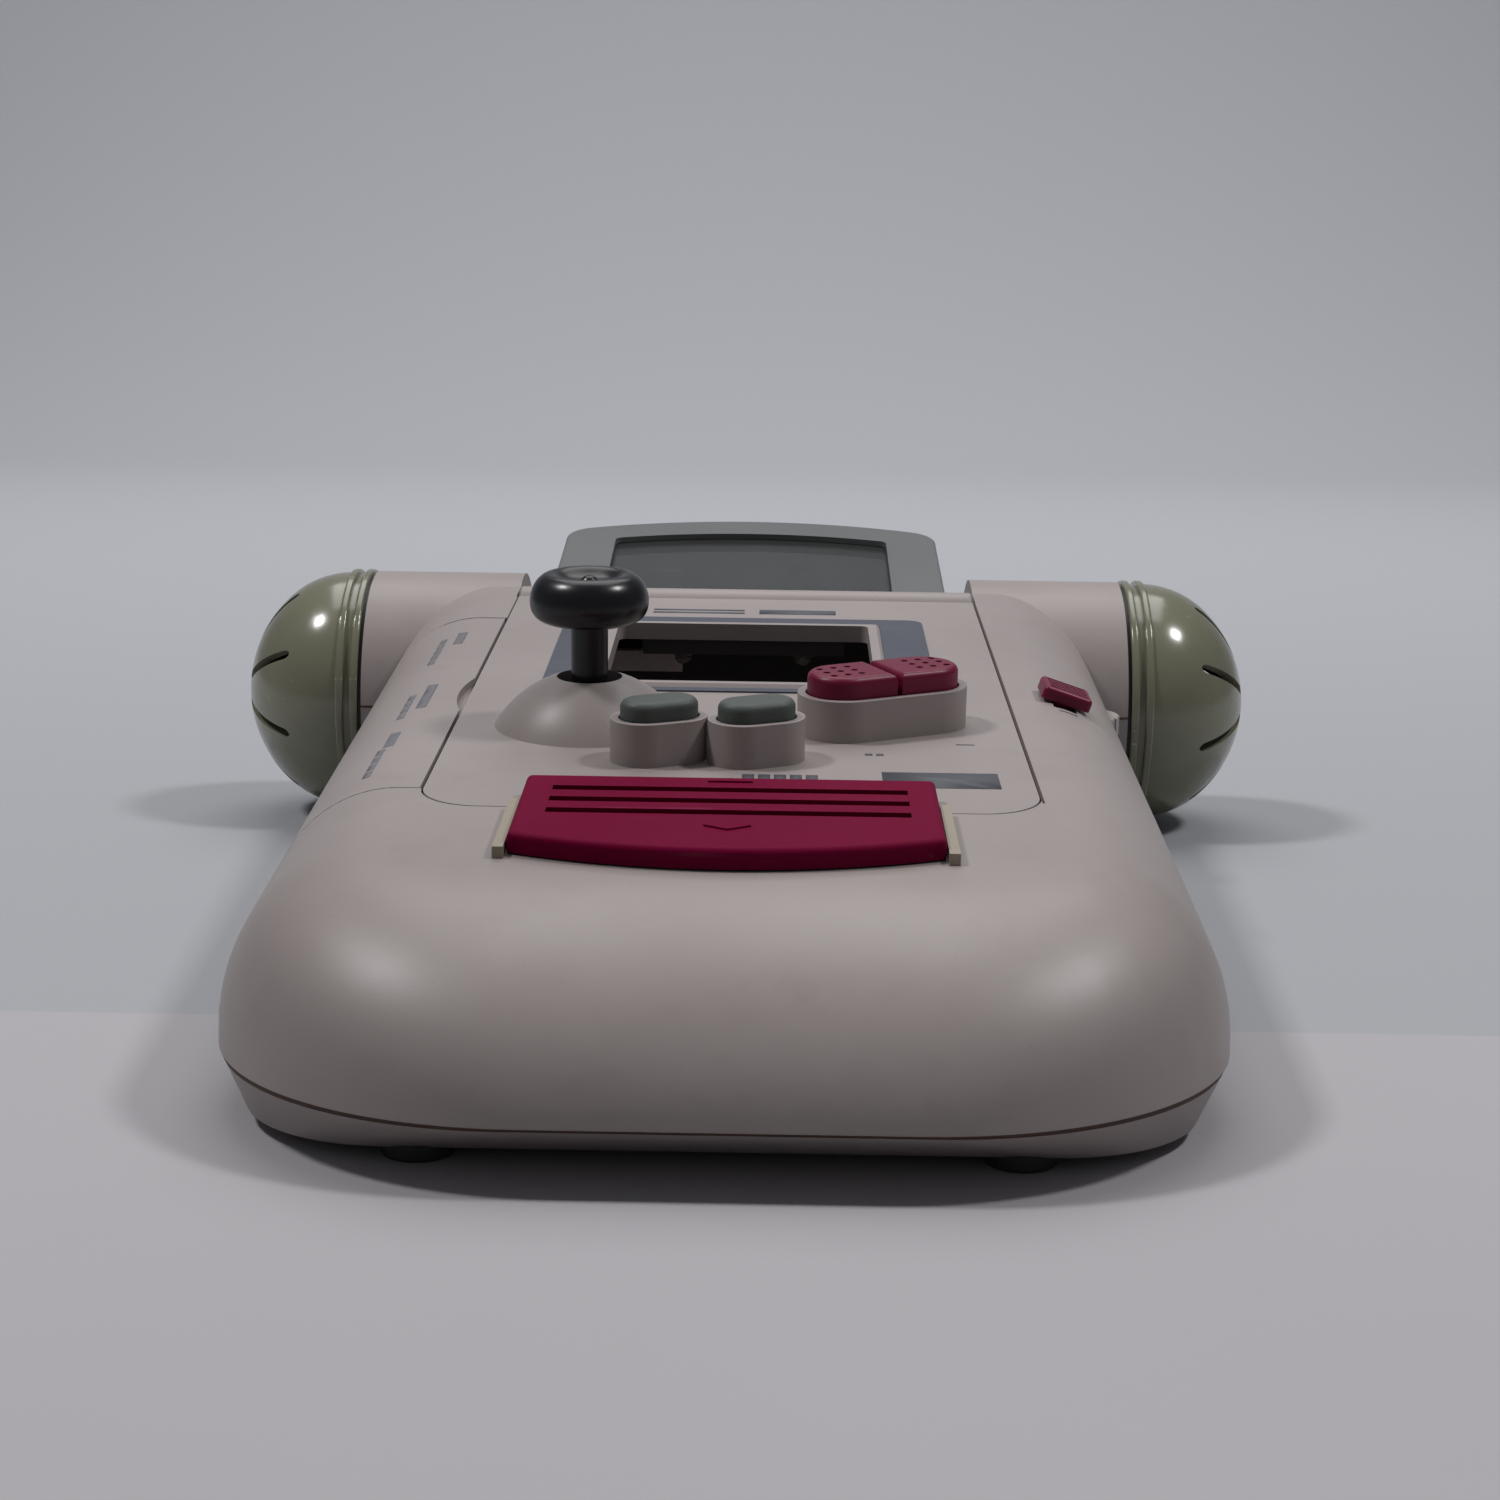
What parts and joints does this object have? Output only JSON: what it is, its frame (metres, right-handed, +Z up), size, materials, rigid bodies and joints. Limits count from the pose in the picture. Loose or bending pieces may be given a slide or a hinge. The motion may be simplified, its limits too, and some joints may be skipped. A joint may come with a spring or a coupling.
{
  "type": "handheld game console carrying case",
  "caption": "Powered carrying case for a handheld game console, with a hinged lid and window, joystick, game buttons, fold-out magnifier, sliding latch and round speaker ends.",
  "frame": {"origin": "middle of the bounding box's base, on the table that the feet stand on", "axes": "+X right across the case seen from its near end, +Y from the near end to the speaker tube and the folded-out magnifier, +Z up"},
  "size_m": [0.214, 0.3288, 0.0671],
  "materials": {
    "shell": "satin",
    "surround": "satin",
    "crimson": "semi-gloss",
    "grey_button": "satin",
    "stick": "semi-gloss",
    "sage": "satin",
    "olive": "semi-gloss",
    "lens": "clear",
    "dark_plastic": "satin",
    "steel": "brushed",
    "bulb": "clear",
    "board": "matt",
    "cone": "matt",
    "magnet": "matt",
    "contact": "bright",
    "cell": "gloss",
    "rubber": "matt"
  },
  "bodies": {
    "housing": {"amplifier_board": "board", "battery_cell_1": "cell", "battery_cell_2": "cell", "battery_cell_3": "cell", "battery_cell_4": "cell", "battery_contacts": "contact", "battery_tray": "dark_plastic", "bay_tab": "shell", "bay_walls": "dark_plastic", "board_parts": "dark_plastic", "cap_ring_left": "dark_plastic", "cap_ring_right": "dark_plastic", "case_screws": "steel", "latch_spring": "steel", "lid_hinge_pin": "steel", "lower_shell": "shell", "magnifier_pin_left": "steel", "magnifier_pin_right": "steel", "port_panel": "dark_plastic", "port_sockets": "dark_plastic", "rubber_feet": "rubber", "speaker_basket_left": "steel", "speaker_basket_right": "steel", "speaker_cap_left": "olive", "speaker_cap_right": "olive", "speaker_cone_left": "cone", "speaker_cone_right": "cone", "speaker_magnet_left": "magnet", "speaker_magnet_right": "magnet", "switch_body": "dark_plastic", "upper_shell": "shell", "volume_pot": "dark_plastic"},
    "lid": {"lid_panel": "shell", "screen_surround": "surround", "leaf_spring_fire": "steel", "leaf_spring_menu": "steel", "lamp_holder": "dark_plastic", "lamps": "bulb"},
    "gimbal": {"joystick_gimbal": "dark_plastic"},
    "stick": {"joystick_shaft": "stick", "joystick_cap": "stick", "joystick_foot": "dark_plastic"},
    "button_a_body": {"button_a": "crimson"},
    "button_b_body": {"button_b": "crimson"},
    "select_body": {"button_select": "grey_button"},
    "start_body": {"button_start": "grey_button"},
    "latch": {"latch_bar": "crimson"},
    "magnifier": {"magnifier_frame": "sage", "magnifier_lens": "lens"},
    "hatch": {"port_hatch": "shell"},
    "door": {"battery_door": "shell"},
    "switch": {"switch_knob": "crimson"},
    "wheel": {"volume_wheel": "shell"}
  },
  "joints": [
    {"name": "lid_hinge", "type": "hinge", "parent": "housing", "child": "lid", "pos_m": [0, 0.06322, 0.04695], "axis": [-1, 0, 0], "range_deg": [0, 95]},
    {"name": "magnifier_hinge", "type": "hinge", "parent": "housing", "child": "magnifier", "pos_m": [0, 0.07117, 0.0465], "axis": [-1, 0, 0], "range_deg": [-165, 0]},
    {"name": "latch_slide", "type": "slide", "parent": "housing", "child": "latch", "axis": [0, -0.9969, -0.0792], "range_m": [0, 0.0075], "stiffness_N_per_m": 250, "springref_m": -0.003, "deforming": ["latch_spring"]},
    {"name": "stick_tilt_forward", "type": "hinge", "parent": "lid", "child": "gimbal", "pos_m": [-0.0247, -0.04705, 0.04341], "axis": [1, 0, 0], "range_deg": [-12, 12], "stiffness_Nm_per_rad": 0.05},
    {"name": "stick_tilt_sideways", "type": "hinge", "parent": "gimbal", "child": "stick", "pos_m": [-0.0247, -0.04705, 0.04341], "axis": [0, 0.9969, 0.0792], "range_deg": [-12, 12], "stiffness_Nm_per_rad": 0.05},
    {"name": "a_press", "type": "slide", "parent": "lid", "child": "button_a_body", "axis": [0, 0.0792, -0.9969], "range_m": [0, 0.0018], "stiffness_N_per_m": 300, "springref_m": -0.001, "deforming": ["leaf_spring_fire"]},
    {"name": "b_press", "type": "slide", "parent": "lid", "child": "button_b_body", "axis": [0, 0.0792, -0.9969], "range_m": [0, 0.0018], "stiffness_N_per_m": 300, "springref_m": -0.001, "deforming": ["leaf_spring_fire"]},
    {"name": "select_press", "type": "slide", "parent": "lid", "child": "select_body", "axis": [0, 0.0792, -0.9969], "range_m": [0, 0.0018], "stiffness_N_per_m": 300, "springref_m": -0.001, "deforming": ["leaf_spring_menu"]},
    {"name": "start_press", "type": "slide", "parent": "lid", "child": "start_body", "axis": [0, 0.0792, -0.9969], "range_m": [0, 0.0018], "stiffness_N_per_m": 300, "springref_m": -0.001, "deforming": ["leaf_spring_menu"]},
    {"name": "hatch_hinge", "type": "hinge", "parent": "housing", "child": "hatch", "pos_m": [-0.07247, 0.0389, 0.03108], "axis": [0.013, -0.9968, -0.0791], "range_deg": [0, 75]},
    {"name": "door_hinge", "type": "hinge", "parent": "housing", "child": "door", "pos_m": [0, -0.10363, 0.002], "axis": [1, 0, 0], "range_deg": [0, 80]},
    {"name": "switch_slide", "type": "slide", "parent": "housing", "child": "switch", "axis": [0, -0.9969, -0.0792], "range_m": [0, 0.004]},
    {"name": "volume_turn", "type": "hinge", "parent": "housing", "child": "wheel", "pos_m": [0.0635, 0.02117, 0.031], "axis": [0, 0, 1], "range_deg": [0, 270]}
  ]
}
